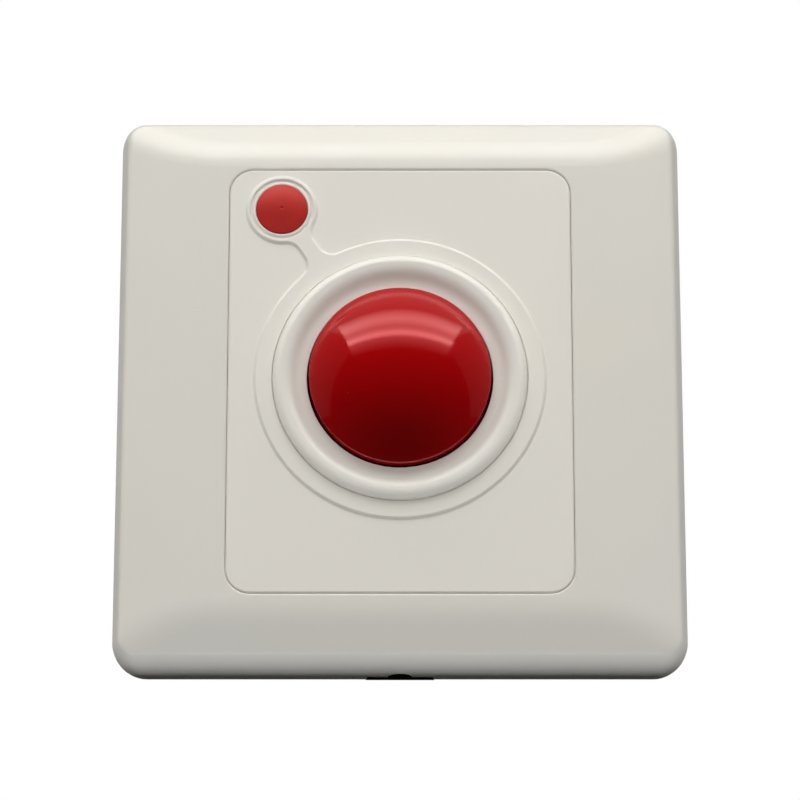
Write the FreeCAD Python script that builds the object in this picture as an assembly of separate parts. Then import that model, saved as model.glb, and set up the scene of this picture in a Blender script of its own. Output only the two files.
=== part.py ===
import FreeCAD, Part
import math
import os

# Wireless nurse call button on a square wall plate, sizes in millimetres.
# The pieces are drawn on the wall: X to the right, Y up, Z out of the wall from the plate's rear face.
# place_on_wall turns them so that the front faces -Y and +Z is up.

# Wall plate outline: its size follows from the panel, and its depth from the battery behind the face
wall_lean = 1.5
bulge_height = 4.0
rear_corner_radius = 4.8
front_corner_radius = 3.0
front_edge_radius = 1.3
rear_edge_radius = 0.5

# Face: rolls off to both sides, bevels at the top and bottom
edge_drop = 3.0
roll_margin = 1.5
bevel_run = 5.5
bevel_blend = 9.0

# Cover walls
face_wall = 2.0
side_wall = 1.8
rim_wall = 1.35
ledge_width = 0.6

# Control panel set in the face: it is as wide as the pad needs and as high as the indicator needs
panel_side_margin = 3.88
panel_top_margin = 6.43
panel_end_margin = 9.95
panel_corner = 3.7
panel_gap = 0.07
panel_plate = 1.2
panel_core = 1.0
panel_seat = 1.6
panel_edge_chamfer = 0.2
clip_width = 6.0
clip_thickness = 1.2
clip_barb = 1.0
clip_barb_height = 1.2
clip_spacing = 16.0
clip_gap = 0.1

# Raised keyhole pad
pad_band = 2.87
pad_lobe_radius = 5.45
pad_neck_width = 2.95
pad_neck_length = 4.7
pad_fillet = 2.2
pad_edge_chamfer = 0.34
pad_step = 0.06

# Collar and dish round the button
collar_band = 5.1
collar_rim_radius = 1.2
collar_step = 0.15
collar_groove = 0.15
collar_groove_depth = 0.25
dish_drop = 0.3
button_hole_radius = 13.95
guide_wall = 2.0
guide_depth = 3.3

# Call button
button_gap = 0.35
dome_height = 6.4
skirt_rise = 1.8
cap_wall = 1.8
cap_flange = 1.2
cap_flange_thickness = 1.4
button_travel = 2.0
stem_radius = 3.0

# Indicator
indicator_direction = 123.9
lens_radius = 3.9
lens_gap = 0.05
lens_rise = 0.4
lens_crown = 0.6
lens_dimple_radius = 0.3
lens_well_radius = 4.8
lens_well_depth = 0.3
lens_rim_width = 0.5
lens_rim_radius = 0.3
lens_flange = 0.9
lens_flange_thickness = 0.8
led_radius = 1.5
led_flange_radius = 1.9
led_flange_thickness = 0.8
led_stand = 0.5
led_gap = 0.4
lead_size = 0.5
lead_pitch = 1.8

# Base plate
base_gap = 0.2
base_thickness = 2.0
base_corner = 3.0
base_rib_height = 2.0
base_rib_thickness = 0.9
base_rib_inset = 0.7
screw_hole_radius = 1.8
screw_side_inset = 5.72
screw_end_inset = 5.52
slot_width = 3.6
slot_length = 6.6
slot_spacing = 59.6
slot_head_radius = 5.5

# Latches between the cover and the base plate
latch_spacing = 40.0
latch_notch_width = 4.4
latch_notch_depth = 1.7
latch_window_width = 2.0
latch_window_depth = 0.9
latch_strap = 0.6
latch_side_gap = 0.3
latch_height = 7.0
latch_tip = 0.3
latch_nib = 0.3
latch_nib_height = 0.65
latch_running_gap = 0.1

# Pry notch under the bottom wall
pry_width = 10.0
pry_height = 3.2
pry_hump_radius = 1.8
pry_hump_rise = 0.3

# Circuit board and its snap hooks
hook_spacing_x = 53.6
hook_spacing_y = 43.8
hook_window_width = 3.7
hook_window_height = 4.3
hook_arm = 1.3
hook_barb_height = 1.5
hook_overlap = 0.75
hook_gap = 0.1
board_lift = 3.0
board_thickness = 1.6
board_side_gap = 0.3
board_battery_gap = 1.9
board_top = 31.0
board_corner = 1.0
post_radius = 1.6
peg_radius = 1.1
peg_gap = 0.15
peg_height = 2.2
post_inset = 5.0

# Push switch
switch_size = 8.5
switch_corner = 0.4
switch_foot_inset = 1.0
switch_foot_radius = 0.5
switch_height = 6.0
switch_roof = 1.0
switch_floor = 1.0
switch_chamber_radius = 3.1
switch_bottom_gap = 0.25
plunger_radius = 1.9
plunger_gap = 0.08
plunger_collar_radius = 2.8
plunger_collar_height = 0.9
plunger_rise = 2.6
pin_radius = 0.35
pin_pitch = 2.5
pin_row_spacing = 5.0
pin_hole_gap = 0.15
pin_below = 0.8

# Thin wire is drawn with a few flat sides
wire_sides = 6

# Return spring
spring_radius = 8.0
spring_wire = 0.9
spring_turns = 4.0
spring_gap = 0.05
spring_seat_above_face = 1.7
spring_seat_thickness = 1.4

# Battery and its holder
battery_radius = 5.15
battery_length = 27.7
battery_nub_radius = 2.5
battery_nub_height = 0.8
battery_edge = 0.4
battery_rib_gap = 0.4
battery_face_gap = 0.8
battery_web = 0.4
saddle_thickness = 1.5
saddle_spacing = 16.0
saddle_height = 3.4
saddle_width = 9.4
saddle_gap = 0.1
terminal_sheet = 0.4
terminal_gap = 0.05
terminal_width = 8.6
terminal_foot = 2.5
terminal_neck = 2.0
terminal_reach = 3.0
end_wall = 1.4
end_wall_height = 8.0
contact_spring_length = 3.2
contact_spring_wire = 0.5
contact_spring_base = 3.2
contact_spring_tip = 1.8
contact_spring_turns = 3.0

# Parts on the board
chip_length = 5.0
chip_width = 4.0
chip_height = 1.5
chip_standoff = 0.1
chip_x = 15.0
chip_y = 18.5
leg_pitch = 1.27
leg_count = 4
leg_width = 0.4
leg_reach = 1.0
leg_thickness = 0.2
leg_shoulder = 0.6
can_radius = 4.6
can_height = 3.0
can_flange = 0.4
can_flange_thickness = 0.5
can_x = 6.5
can_y = 23.5
transistor_radius = 2.3
transistor_height = 4.6
transistor_flat = 1.4
transistor_lift = 1.0
transistor_x = 23.0
transistor_y = 24.5
capacitor_radius = 2.5
capacitor_height = 5.0
capacitor_groove_depth = 0.25
capacitor_groove_height = 1.0
capacitor_x = 20.0
capacitor_edge_gap = 6.4
chip_part_length = 2.0
chip_part_width = 1.25
chip_part_height = 0.55
chip_part_pitch = 2.6
resistor_count = 6
resistor_x = -14.0
resistor_edge_gap = 6.9
bypass_count = 4
bypass_x = 20.0
bypass_y = 12.5
antenna_wire = 1.0
antenna_span = 14.0
antenna_height = 3.5
antenna_bend = 1.5
antenna_x = -5.5
antenna_edge_gap = 2.0

# Sizes that follow from the ones above
collar_radius = button_hole_radius + collar_band
pad_radius = collar_radius + pad_band
indicator_reach = pad_radius + pad_neck_length + pad_lobe_radius
indicator_x = indicator_reach * math.cos(math.radians(indicator_direction))
indicator_y = indicator_reach * math.sin(math.radians(indicator_direction))
panel_width = 2 * (pad_radius + panel_side_margin)
panel_height = 2 * (indicator_y + panel_top_margin)
bulge_size = panel_height + 2 * panel_end_margin
plate_depth = base_thickness + battery_web + 2 * battery_radius + battery_face_gap + face_wall
bulge_half = bulge_size / 2
front_half = bulge_half - wall_lean
edge_height = plate_depth - edge_drop
bulge_radius = (wall_lean ** 2 + (edge_height - bulge_height) ** 2) / (2 * wall_lean)
rear_half = bulge_half - bulge_radius + math.sqrt(bulge_radius ** 2 - bulge_height ** 2)
roll_flat_half = panel_width / 2 + roll_margin
roll_run = front_half - roll_flat_half
roll_radius = (roll_run ** 2 + edge_drop ** 2) / (2 * edge_drop)
bevel_angle = math.atan2(edge_drop, bevel_run)
bevel_knee = front_half - bevel_run
recess_half = rear_half - rim_wall
recess_corner = base_corner + base_gap
base_half = recess_half - base_gap
cavity_rear_half = recess_half - ledge_width
cavity_front_half = front_half - side_wall
cavity_top = plate_depth - face_wall
seat_height = plate_depth - panel_plate
opening_width = panel_width - 2 * panel_seat
opening_height = panel_height - 2 * panel_seat
core_width = opening_width - 2 * panel_gap
core_height = opening_height - 2 * panel_gap
core_bottom = seat_height - panel_core
guide_end = plate_depth - guide_depth
pad_height = pad_step + pad_edge_chamfer
pad_top = plate_depth + pad_height
hole_edge_height = pad_top - dish_drop
cap_radius = button_hole_radius - button_gap
dome_base = hole_edge_height + skirt_rise
dome_radius = (cap_radius ** 2 + dome_height ** 2) / (2 * dome_height)
dome_centre = dome_base + dome_height - dome_radius
cap_flange_bottom = guide_end - cap_flange_thickness
board_bottom_face = base_thickness + board_lift
board_face = board_bottom_face + board_thickness
board_half = hook_spacing_x / 2 + hook_window_width / 2 - board_side_gap
switch_roof_height = board_face + switch_bottom_gap + switch_height
plunger_top = switch_roof_height + plunger_rise
lens_floor = pad_top - lens_well_depth
lens_rear = core_bottom
rib_outer_half = cavity_rear_half - base_rib_inset
battery_y = battery_rib_gap + battery_radius + base_rib_thickness - rib_outer_half
battery_z = base_thickness + battery_web + battery_radius
board_bottom = battery_y + battery_radius + board_battery_gap
capacitor_y = board_bottom + capacitor_edge_gap
resistor_y = board_bottom + resistor_edge_gap
antenna_y = board_top - antenna_edge_gap
screw_hole_x = 2 * (base_half - screw_side_inset)
screw_hole_y = 2 * (base_half - screw_end_inset)
spring_seat_height = plate_depth + spring_seat_above_face
battery_half = battery_length / 2
contact_x = battery_half + battery_nub_height + terminal_gap
spring_contact_x = battery_half + contact_spring_length
post_x = board_half - post_inset
pin_hole_radius = pin_radius + pin_hole_gap
lead_hole_radius = lead_size / math.sqrt(2) + pin_hole_gap
led_base = board_face + led_stand
led_tip = lens_rear - lens_flange_thickness - led_gap
wall_reach = bulge_size
above_all = plate_depth * 3
level = 0.03
crease_reach = edge_drop / 10


def vec(x, y, z):
    return FreeCAD.Vector(x, y, z)


def line(start, end):
    return Part.LineSegment(start, end).toShape()


def arc(start, middle, end):
    return Part.Arc(start, middle, end).toShape()


def on_circle(centre_x, centre_y, radius, angle):
    return vec(centre_x + radius * math.cos(angle), centre_y + radius * math.sin(angle), 0)


def cylinder(radius, bottom, top, x=0.0, y=0.0):
    return Part.makeCylinder(radius, top - bottom, vec(x, y, bottom))


def block(width, height, bottom, top, x=0.0, y=0.0):
    return Part.makeBox(width, height, top - bottom, vec(x - width / 2, y - height / 2, bottom))


def rounded_block(width, height, radius, bottom, top, x=0.0, y=0.0):
    solid = block(width, height, bottom, top, x, y)
    upright = [edge for edge in solid.Edges if abs(edge.tangentAt(edge.FirstParameter).z) > 0.9]
    return solid.makeFillet(radius, upright)


def fused(first, *others):
    return first.multiFuse(list(others)).removeSplitter()


def mirrored_pairs(spacing_x, spacing_y):
    return [(sx * spacing_x / 2, sy * spacing_y / 2) for sx in (-1, 1) for sy in (-1, 1)]


def place_on_wall(shape):
    turned = shape.copy()
    turned.rotate(vec(0, 0, 0), vec(1, 0, 0), 90)
    return turned


def prism(edges, across):
    """Extrude a profile drawn in the XZ plane, or turned into YZ, through the whole plate."""
    face = Part.Face(Part.Wire(edges))
    solid = face.extrude(vec(0, 2 * wall_reach, 0))
    solid.translate(vec(0, -wall_reach, 0))
    if across:
        solid.rotate(vec(0, 0, 0), vec(0, 0, 1), 90)
    return solid


def roll_crown(half, top, inset):
    """Face profile that is flat in the middle and rolls off on an arc towards both sides."""
    radius = roll_radius - inset
    reach = half - roll_flat_half
    fall = radius - math.sqrt(radius ** 2 - reach ** 2)
    half_turn = math.asin(reach / radius) / 2
    middle = vec(roll_flat_half + radius * math.sin(half_turn), 0, top - radius * (1 - math.cos(half_turn)))
    right = arc(vec(half, 0, top - fall), middle, vec(roll_flat_half, 0, top))
    flat = line(vec(roll_flat_half, 0, top), vec(-roll_flat_half, 0, top))
    left = right.mirror(vec(0, 0, 0), vec(1, 0, 0))
    return [right, flat, left], top - fall


def bevel_crown(half, top, inset):
    """Face profile with a straight bevel at both ends; its knee is rounded after the crossing."""
    knee = bevel_knee - inset * math.tan(bevel_angle / 2)
    fall = (half - knee) * math.tan(bevel_angle)
    bevel = line(vec(half, 0, top - fall), vec(knee, 0, top))
    flat = line(vec(knee, 0, top), vec(-knee, 0, top))
    return [bevel, flat, bevel.mirror(vec(0, 0, 0), vec(1, 0, 0))], top - fall


def outer_block():
    """The plate's outside: two crowned profiles with bulging sides, crossed at right angles."""
    blocks = []
    for across, crown in ((False, roll_crown), (True, bevel_crown)):
        edges, shoulder = crown(front_half, plate_depth, 0.0)
        side = arc(vec(rear_half, 0, 0), vec(bulge_half, 0, bulge_height), vec(front_half, 0, shoulder))
        rear = line(vec(-rear_half, 0, 0), vec(rear_half, 0, 0))
        sides = [side, side.mirror(vec(0, 0, 0), vec(1, 0, 0))]
        blocks.append(prism(Part.__sortEdges__(edges + sides + [rear]), across))
    solid = blocks[0].common(blocks[1])
    solid = rounded_corners(solid)
    solid = solid.makeFillet(bevel_blend, crease_edges(solid, plate_depth))
    solid = solid.makeFillet(front_edge_radius, shoulder_edges(solid))
    rear_rim = [edge for edge in solid.Edges if edge.BoundBox.ZMax < level]
    return solid.makeFillet(rear_edge_radius, rear_rim)


def corner_edges(solid):
    """The four upright edges where two side walls meet."""
    reach = front_half - rear_corner_radius
    found = []
    for edge in solid.Edges:
        box = edge.BoundBox
        upright = box.ZLength > edge_height / 2
        near_corner = min(abs(box.Center.x), abs(box.Center.y)) > reach
        if upright and near_corner:
            found.append(edge)
    return found


def rounded_corners(solid):
    """Round the four corners, with a larger radius at the wall than at the face."""
    places = [edge.CenterOfMass for edge in corner_edges(solid)]
    for place in places:
        edge = min(corner_edges(solid), key=lambda found: found.CenterOfMass.distanceToPoint(place))
        rises = edge.valueAt(edge.LastParameter).z > edge.valueAt(edge.FirstParameter).z
        radii = [rear_corner_radius, front_corner_radius]
        if not rises:
            radii.reverse()
        solid = solid.makeFillet(radii[0], radii[1], [edge])
    return solid


def crease_edges(solid, top):
    """The line where the bevels leave the flat face and the side roll-offs."""
    found = []
    for edge in solid.Edges:
        box = edge.BoundBox
        nearest = min(abs(box.YMin), abs(box.YMax))
        one_side = box.YMin * box.YMax > 0
        if one_side and nearest > bevel_knee - crease_reach and box.ZMax > top - crease_reach:
            found.append(edge)
    return found


def shoulder_edges(solid):
    """Sharp edges where the crowned face meets the side walls."""
    found = []
    for edge in solid.Edges:
        box = edge.BoundBox
        if box.ZMin < bulge_height or box.ZMax > plate_depth - crease_reach:
            continue
        middle = edge.valueAt((edge.FirstParameter + edge.LastParameter) / 2)
        normals = []
        for face in solid.Faces:
            if any(edge.isSame(other) for other in face.Edges):
                u, v = face.Surface.parameter(middle)
                normals.append(face.normalAt(u, v))
        if len(normals) == 2 and normals[0].getAngle(normals[1]) > bevel_angle:
            found.append(edge)
    return found


def inner_block():
    """The cover's cavity: follows the face one wall behind it and tapers to the front."""
    blocks = []
    for across, crown in ((False, roll_crown), (True, bevel_crown)):
        edges, shoulder = crown(cavity_front_half, cavity_top, face_wall)
        right = line(vec(cavity_rear_half, 0, base_thickness), vec(cavity_front_half, 0, shoulder))
        rear = line(vec(-cavity_rear_half, 0, base_thickness), vec(cavity_rear_half, 0, base_thickness))
        sides = [right, right.mirror(vec(0, 0, 0), vec(1, 0, 0))]
        blocks.append(prism(Part.__sortEdges__(edges + sides + [rear]), across))
    solid = blocks[0].common(blocks[1])
    return solid.makeFillet(base_corner, corner_edges(solid))


def latch_pocket_edge():
    """Bottom of each latch notch, measured from the plate's middle."""
    return base_half - latch_notch_depth


def latch_loop():
    """Strap moulded on the top wall that catches the base plate, with a dark window behind it."""
    strap_inner = latch_pocket_edge() + latch_running_gap + latch_nib
    strap_outer = strap_inner + latch_strap
    width = latch_notch_width - 2 * latch_side_gap
    wall_end = recess_half + rim_wall / 2
    body = Part.makeBox(width, wall_end - strap_inner, latch_height - latch_tip,
                        vec(-width / 2, strap_inner, latch_tip))
    window = Part.makeBox(latch_window_width, latch_window_depth, latch_height - side_wall,
                          vec(-latch_window_width / 2, strap_outer, 0))
    nib_points = [vec(-width / 2, strap_inner, latch_tip),
                  vec(-width / 2, strap_inner - latch_nib, latch_tip + latch_nib_height / 2),
                  vec(-width / 2, strap_inner - latch_nib, latch_tip + latch_nib_height),
                  vec(-width / 2, strap_inner, latch_tip + latch_nib_height)]
    nib = Part.Face(Part.makePolygon(nib_points + nib_points[:1])).extrude(vec(width, 0, 0))
    return body.cut(window).fuse(nib)


def around_latches(shape):
    """Copies of one latch feature at both places on the top edge and on the bottom edge."""
    copies = []
    for side in (-1, 1):
        top = shape.copy()
        top.translate(vec(side * latch_spacing / 2, 0, 0))
        copies.append(top)
        copies.append(top.mirror(vec(0, 0, 0), vec(0, 1, 0)))
    return copies


def front_cover():
    shell = outer_block().cut(inner_block())
    recess = rounded_block(2 * recess_half, 2 * recess_half, recess_corner, -base_thickness, base_thickness)
    pocket = rounded_block(panel_width + 2 * panel_gap, panel_height + 2 * panel_gap,
                           panel_corner + panel_gap, seat_height, above_all)
    opening = rounded_block(opening_width, opening_height, panel_corner - panel_seat,
                            base_thickness, above_all)
    shell = shell.cut(recess)
    shell = shell.cut(pocket)
    shell = shell.cut(opening)
    lip = [edge for edge in shell.Edges if abs(edge.BoundBox.ZMin - plate_depth) < level
           and abs(edge.BoundBox.ZMax - plate_depth) < level
           and abs(edge.BoundBox.Center.x) < panel_width / 2 + 2 * panel_gap
           and abs(edge.BoundBox.Center.y) < panel_height / 2 + 2 * panel_gap]
    shell = shell.makeChamfer(panel_edge_chamfer, lip)
    shell = fused(shell, *around_latches(latch_loop()))
    return shell.cut(pry_notch())


def pry_notch():
    """Slot for a screwdriver through the bottom wall, with a round hump in its middle."""
    start = -bulge_half - base_gap
    length = bulge_half - cavity_rear_half + 2 * base_gap
    slot = Part.makeBox(pry_width, length, pry_height + base_thickness,
                        vec(-pry_width / 2, start, -base_thickness))
    hump = Part.makeCylinder(pry_hump_radius, length, vec(0, start, pry_height + pry_hump_rise), vec(0, 1, 0))
    return slot.fuse(hump)


def keyhole_wire(height):
    """Outline of the raised pad: a big circle and a small one, joined by a filleted neck."""
    reach = indicator_reach
    half_neck = pad_neck_width / 2
    fillet_y = half_neck + pad_fillet
    big_x = math.sqrt((pad_radius + pad_fillet) ** 2 - fillet_y ** 2)
    small_x = reach - math.sqrt((pad_lobe_radius + pad_fillet) ** 2 - fillet_y ** 2)
    big_angle = math.atan2(fillet_y, big_x)
    small_angle = math.atan2(fillet_y, reach - small_x)
    on_big = on_circle(0, 0, pad_radius, big_angle)
    on_small = on_circle(reach, 0, pad_lobe_radius, math.pi - small_angle)
    big_turn = (math.pi / 2 - big_angle) / 2
    small_turn = (math.pi / 2 - small_angle) / 2
    big_middle = on_circle(big_x, fillet_y, pad_fillet, -math.pi / 2 - big_turn)
    small_middle = on_circle(small_x, fillet_y, pad_fillet, small_turn - math.pi / 2)
    side = [arc(on_big, big_middle, vec(big_x, half_neck, 0)),
            line(vec(big_x, half_neck, 0), vec(small_x, half_neck, 0)),
            arc(vec(small_x, half_neck, 0), small_middle, on_small)]
    other_side = [edge.mirror(vec(0, 0, 0), vec(0, 1, 0)) for edge in side]
    big_arc = arc(on_big, vec(-pad_radius, 0, 0), vec(on_big.x, -on_big.y, 0))
    small_arc = arc(on_small, vec(reach + pad_lobe_radius, 0, 0), vec(on_small.x, -on_small.y, 0))
    wire = Part.Wire(Part.__sortEdges__(side + other_side + [big_arc, small_arc]))
    wire.rotate(vec(0, 0, 0), vec(0, 0, 1), indicator_direction)
    wire.translate(vec(0, 0, height))
    return wire


def keyhole_pad():
    pad = Part.Face(keyhole_wire(seat_height)).extrude(vec(0, 0, pad_top - seat_height))
    rim = [edge for edge in pad.Edges if edge.BoundBox.ZMin > pad_top - level]
    return pad.makeChamfer(pad_edge_chamfer, rim)


def collar_ring():
    """Collar, dish and guide tube of the button as one turned ring; the dish is an ogee of two arcs."""
    crest_x = collar_radius - collar_rim_radius
    rim_z = pad_top + collar_step
    crest_z = rim_z + collar_rim_radius
    over = vec(crest_x + collar_rim_radius * math.sqrt(0.5), 0, rim_z + collar_rim_radius * math.sqrt(0.5))
    run = crest_x - button_hole_radius
    drop = crest_z - hole_edge_height
    turn = 2 * math.atan2(drop, run)
    sweep_radius = run / (2 * math.sin(turn))
    side_step = sweep_radius * math.sin(turn / 2)
    fall_step = sweep_radius * (1 - math.cos(turn / 2))
    crest = vec(crest_x, 0, crest_z)
    waist = vec(crest_x - run / 2, 0, crest_z - drop / 2)
    tube_x = button_hole_radius + guide_wall
    hole_edge = vec(button_hole_radius, 0, hole_edge_height)
    edges = [line(vec(collar_radius, 0, core_bottom), vec(collar_radius, 0, rim_z)),
             arc(vec(collar_radius, 0, rim_z), over, crest),
             arc(crest, vec(crest_x - side_step, 0, crest_z - fall_step), waist),
             arc(waist, vec(button_hole_radius + side_step, 0, hole_edge_height + fall_step), hole_edge),
             line(hole_edge, vec(button_hole_radius, 0, guide_end)),
             line(vec(button_hole_radius, 0, guide_end), vec(tube_x, 0, guide_end)),
             line(vec(tube_x, 0, guide_end), vec(tube_x, 0, core_bottom)),
             line(vec(tube_x, 0, core_bottom), vec(collar_radius, 0, core_bottom))]
    return Part.Face(Part.Wire(edges)).revolve(vec(0, 0, 0), vec(0, 0, 1), 360)


def panel_clip():
    """Spring clip at the core's top edge, with its barb under the cover's ledge."""
    root = core_height / 2
    under_ledge = cavity_top - clip_gap
    foot = under_ledge - clip_barb_height
    points = [vec(0, root - clip_thickness, seat_height),
              vec(0, root - clip_thickness, foot),
              vec(0, root, foot),
              vec(0, root + clip_barb, under_ledge - clip_gap),
              vec(0, root + clip_barb, under_ledge),
              vec(0, root, under_ledge),
              vec(0, root, seat_height)]
    clip = Part.Face(Part.makePolygon(points + points[:1])).extrude(vec(clip_width, 0, 0))
    clip.translate(vec(-clip_width / 2, 0, 0))
    return clip


def control_panel():
    plate = rounded_block(panel_width, panel_height, panel_corner, seat_height, plate_depth)
    top_edges = [edge for edge in plate.Edges if edge.BoundBox.ZMin > plate_depth - panel_gap]
    plate = plate.makeChamfer(panel_edge_chamfer, top_edges)
    core = rounded_block(core_width, core_height, panel_corner - panel_seat, core_bottom, seat_height)
    clips = []
    for side in (-1, 1):
        clip = panel_clip()
        clip.translate(vec(side * clip_spacing / 2, 0, 0))
        clips.append(clip)
        clips.append(clip.mirror(vec(0, 0, 0), vec(0, 1, 0)))
    body = fused(plate, core, keyhole_pad(), *clips)
    body = body.cut(cylinder(button_hole_radius + guide_wall, guide_end, above_all))
    body = fused(body, collar_ring())
    groove = cylinder(collar_radius + collar_groove, pad_top - collar_groove_depth, pad_top + collar_step)
    groove = groove.cut(cylinder(collar_radius, core_bottom, above_all))
    body = body.cut(groove)
    well = cylinder(lens_well_radius, lens_floor, above_all, indicator_x, indicator_y)
    bore = cylinder(lens_radius + lens_gap, core_bottom - panel_core, above_all, indicator_x, indicator_y)
    rim_centre_radius = lens_radius + lens_gap + lens_rim_width - lens_rim_radius
    rim = Part.makeTorus(rim_centre_radius, lens_rim_radius, vec(indicator_x, indicator_y, lens_floor))
    return fused(body.cut(well), rim).cut(bore)


def call_button_cap():
    """Hollow dome with a skirt, a stop flange, a stem for the switch and a ring for the spring."""
    sideways = vec(1, 0, 0)
    middle = vec(0, 0, dome_centre)
    ball = Part.makeSphere(dome_radius, middle, sideways)
    dome = ball.common(cylinder(cap_radius, dome_base, above_all))
    skirt = cylinder(cap_radius, cap_flange_bottom, dome_base)
    flange = cylinder(cap_radius + cap_flange, cap_flange_bottom, guide_end)
    outside = fused(skirt, dome, flange)
    inner_radius = cap_radius - cap_wall
    hollow = Part.makeSphere(dome_radius - cap_wall, middle, sideways)
    hollow = hollow.common(cylinder(inner_radius, cap_flange_bottom, above_all))
    low_hollow = cylinder(inner_radius, cap_flange_bottom - cap_wall, dome_base)
    shell = outside.cut(fused(hollow, low_hollow))
    crown = dome_base + dome_height
    stem = cylinder(stem_radius, plunger_top, crown)
    seat_outer = cylinder(spring_radius + spring_seat_thickness / 2, spring_seat_height, crown)
    seat_inner = cylinder(spring_radius - spring_seat_thickness / 2, spring_seat_height, crown)
    inside_ball = Part.makeSphere(dome_radius - cap_wall / 2, middle, sideways)
    ring = seat_outer.cut(seat_inner).common(inside_ball)
    return fused(shell, stem.common(inside_ball), ring)


def wire_section(place, along, diameter):
    """Section of a thin wire at one place, square to its run."""
    corners = Part.Circle(place, along, diameter / 2).toShape().discretize(wire_sides + 1)
    return Part.makePolygon(corners[:-1] + corners[:1])


def coil(radius_start, radius_end, wire, turns, height):
    """Wire spring standing on Z = 0, drawn as one sweep along a helix."""
    run = height - wire
    slope = math.degrees(math.atan2(radius_end - radius_start, run))
    helix = Part.makeHelix(run / turns, run, radius_start, slope)
    helix.translate(vec(0, 0, wire / 2))
    start = helix.Edges[0]
    at_start = start.valueAt(start.FirstParameter)
    along = start.tangentAt(start.FirstParameter)
    return Part.Wire(helix).makePipeShell([wire_section(at_start, along, wire)], True, True)


def return_spring():
    length = spring_seat_height - board_face - 2 * spring_gap
    spring = coil(spring_radius, spring_radius, spring_wire, spring_turns, length)
    spring.translate(vec(0, 0, board_face + spring_gap))
    return spring


def push_switch_body():
    bottom = board_face + switch_bottom_gap
    body = rounded_block(switch_size, switch_size, switch_corner, bottom, switch_roof_height)
    foot_spacing = switch_size - 2 * switch_foot_inset
    feet = [cylinder(switch_foot_radius, board_face, bottom + switch_floor / 2, x, y)
            for x, y in mirrored_pairs(foot_spacing, foot_spacing)]
    body = fused(body, *feet)
    chamber = cylinder(switch_chamber_radius, bottom + switch_floor, switch_roof_height - switch_roof)
    neck = cylinder(plunger_radius + plunger_gap, bottom + switch_floor, above_all)
    return body.cut(chamber).cut(neck)


def switch_plunger():
    roof_inside = switch_roof_height - switch_roof
    collar_top = roof_inside - plunger_gap
    floor = board_face + switch_bottom_gap + switch_floor
    shaft = cylinder(plunger_radius, floor + button_travel + plunger_gap, plunger_top)
    collar = cylinder(plunger_collar_radius, collar_top - plunger_collar_height, collar_top)
    return fused(shaft, collar)


def pin_places():
    places = []
    for row in (-1, 1):
        for column in (-1, 0, 1):
            places.append((column * pin_pitch, row * pin_row_spacing / 2))
    return places


def switch_pins():
    pins = [cylinder(pin_radius, board_bottom_face - pin_below, board_face + switch_bottom_gap, x, y)
            for x, y in pin_places()]
    return Part.makeCompound(pins)


def indicator_lens():
    """Red lens: a crowned disc with a gate mark in its middle, on a flange behind the panel."""
    disc_top = lens_floor + lens_rise
    crown_radius = (lens_radius ** 2 + lens_crown ** 2) / (2 * lens_crown)
    disc = cylinder(lens_radius, lens_rear - lens_flange_thickness, above_all)
    crown = Part.makeSphere(crown_radius, vec(0, 0, disc_top + lens_crown - crown_radius))
    below = cylinder(lens_radius, lens_rear - lens_flange_thickness, disc_top)
    head = fused(disc.common(crown).common(cylinder(lens_radius, disc_top, above_all)), below)
    flange = cylinder(lens_radius + lens_flange, lens_rear - lens_flange_thickness, lens_rear)
    dimple = Part.makeSphere(lens_dimple_radius, vec(0, 0, disc_top + lens_crown + lens_dimple_radius / 2))
    lens = fused(head, flange).cut(dimple)
    lens.translate(vec(indicator_x, indicator_y, 0))
    return lens


def lead_places():
    return [(indicator_x - lead_pitch / 2, indicator_y), (indicator_x + lead_pitch / 2, indicator_y)]


def indicator_led():
    body = cylinder(led_radius, led_base, led_tip - led_radius)
    tip = Part.makeSphere(led_radius, vec(0, 0, led_tip - led_radius))
    flange = cylinder(led_flange_radius, led_base, led_base + led_flange_thickness)
    led = fused(body, tip, flange)
    led.translate(vec(indicator_x, indicator_y, 0))
    return led


def led_leads():
    tip = board_bottom_face - pin_below
    leads = [block(lead_size, lead_size, tip, led_base, x, y) for x, y in lead_places()]
    return Part.makeCompound(leads)


def post_places():
    return mirrored_pairs(2 * post_x, hook_spacing_y)


def peg_places():
    return [place for place in post_places() if place[0] * place[1] > 0]


def circuit_board():
    height = board_top - board_bottom
    middle = (board_top + board_bottom) / 2
    board = rounded_block(2 * board_half, height, board_corner, board_bottom_face, board_face, 0, middle)
    cutters = [cylinder(slot_head_radius, 0, above_all, side * slot_spacing / 2, 0) for side in (-1, 1)]
    cutters += [cylinder(peg_radius + peg_gap, 0, above_all, x, y) for x, y in peg_places()]
    cutters += [cylinder(pin_hole_radius, 0, above_all, x, y) for x, y in pin_places()]
    cutters += [cylinder(lead_hole_radius, 0, above_all, x, y) for x, y in lead_places()]
    wire_hole_radius = antenna_wire / 2 + pin_hole_gap
    cutters += [cylinder(wire_hole_radius, 0, above_all, x, antenna_y) for x in antenna_ends()]
    return board.cut(cutters)


def snap_hook():
    """Board hook at the outer edge of its window, with the barb over the board's edge."""
    root = hook_spacing_x / 2 + hook_window_width / 2
    under_barb = board_face + hook_gap
    tip = board_half - hook_overlap
    points = [vec(root + hook_arm, 0, base_thickness / 2),
              vec(root + hook_arm, 0, under_barb + hook_barb_height),
              vec(root, 0, under_barb + hook_barb_height),
              vec(tip, 0, under_barb + hook_barb_height / 4),
              vec(tip, 0, under_barb),
              vec(root, 0, under_barb),
              vec(root, 0, base_thickness / 2)]
    hook = Part.Face(Part.makePolygon(points + points[:1])).extrude(vec(0, hook_window_height, 0))
    hook.translate(vec(0, -hook_window_height / 2, 0))
    return hook


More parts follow.
